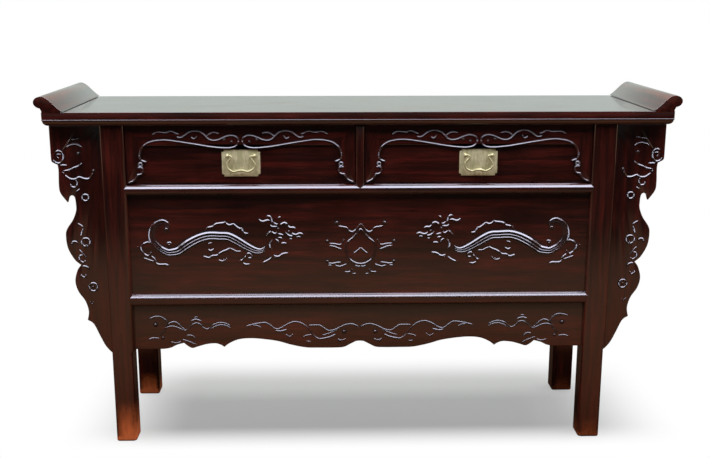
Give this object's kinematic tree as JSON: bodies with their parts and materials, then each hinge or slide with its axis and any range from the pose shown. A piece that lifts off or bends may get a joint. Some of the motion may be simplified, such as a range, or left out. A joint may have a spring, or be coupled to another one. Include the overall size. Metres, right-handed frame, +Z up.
{
  "type": "altar coffer sideboard",
  "caption": "Long hardwood sideboard of altar-coffer form: upturned top ends, drawers with brass bail handles over a hidden compartment, carved panel, shaped apron and spandrels.",
  "frame": {"origin": "on the floor, under the middle of the top", "axes": "+X to the right along the length, +Y to the back, +Z up"},
  "size_m": [1.569, 0.3998, 0.8985],
  "materials": {
    "lacquered_rosewood": "dark red-brown hardwood under glossy old lacquer",
    "plain_inner_wood": "unpolished softwood, planed",
    "aged_brass": "pale brass with a dull patina"
  },
  "bodies": {
    "carcass": {"top_board": "lacquered_rosewood", "end_flange_left": "lacquered_rosewood", "end_flange_right": "lacquered_rosewood", "top_batten_left": "lacquered_rosewood", "top_batten_right": "lacquered_rosewood", "leg_front_left": "lacquered_rosewood", "leg_front_right": "lacquered_rosewood", "leg_back_left": "lacquered_rosewood", "leg_back_right": "lacquered_rosewood", "front_mid_rail": "lacquered_rosewood", "front_lower_rail": "lacquered_rosewood", "drawer_divider": "lacquered_rosewood", "front_panel": "lacquered_rosewood", "front_apron": "lacquered_rosewood", "spandrel_front_left": "lacquered_rosewood", "spandrel_front_right": "lacquered_rosewood", "spandrel_back_left": "lacquered_rosewood", "spandrel_back_right": "lacquered_rosewood", "side_upper_rail_left": "lacquered_rosewood", "side_upper_rail_right": "lacquered_rosewood", "side_lower_rail_left": "lacquered_rosewood", "side_lower_rail_right": "lacquered_rosewood", "side_panel_left": "lacquered_rosewood", "side_panel_right": "lacquered_rosewood", "back_upper_rail": "lacquered_rosewood", "back_mid_rail": "lacquered_rosewood", "back_lower_rail": "lacquered_rosewood", "back_upper_panel": "plain_inner_wood", "back_lower_panel": "plain_inner_wood", "compartment_floor": "plain_inner_wood", "drawer_runner_left": "plain_inner_wood", "drawer_runner_centre": "plain_inner_wood", "drawer_runner_right": "plain_inner_wood", "drawer_guide_centre": "plain_inner_wood"},
    "drawer_left": {"drawer_left_front": "lacquered_rosewood", "drawer_left_frame_head": "lacquered_rosewood", "drawer_left_frame_left": "lacquered_rosewood", "drawer_left_frame_right": "lacquered_rosewood", "drawer_left_side_left": "plain_inner_wood", "drawer_left_side_right": "plain_inner_wood", "drawer_left_back": "plain_inner_wood", "drawer_left_bottom": "plain_inner_wood", "handle_left_plate": "aged_brass", "handle_left_post_left": "aged_brass", "handle_left_post_right": "aged_brass"},
    "drawer_right": {"drawer_right_front": "lacquered_rosewood", "drawer_right_frame_head": "lacquered_rosewood", "drawer_right_frame_left": "lacquered_rosewood", "drawer_right_frame_right": "lacquered_rosewood", "drawer_right_side_left": "plain_inner_wood", "drawer_right_side_right": "plain_inner_wood", "drawer_right_back": "plain_inner_wood", "drawer_right_bottom": "plain_inner_wood", "handle_right_plate": "aged_brass", "handle_right_post_left": "aged_brass", "handle_right_post_right": "aged_brass"},
    "bail_left": {"handle_left_bail": "aged_brass"},
    "bail_right": {"handle_right_bail": "aged_brass"}
  },
  "joints": [
    {"name": "drawer_left_slide", "type": "slide", "parent": "carcass", "child": "drawer_left", "axis": [0, -1, 0], "range_m": [0, 0.26]},
    {"name": "drawer_right_slide", "type": "slide", "parent": "carcass", "child": "drawer_right", "axis": [0, -1, 0], "range_m": [0, 0.26]},
    {"name": "bail_left_swing", "type": "hinge", "parent": "drawer_left", "child": "bail_left", "pos_m": [-0.293, -0.1858, 0.751], "axis": [-1, 0, 0], "range_deg": [0, 165]},
    {"name": "bail_right_swing", "type": "hinge", "parent": "drawer_right", "child": "bail_right", "pos_m": [0.293, -0.1858, 0.751], "axis": [-1, 0, 0], "range_deg": [0, 165]}
  ]
}
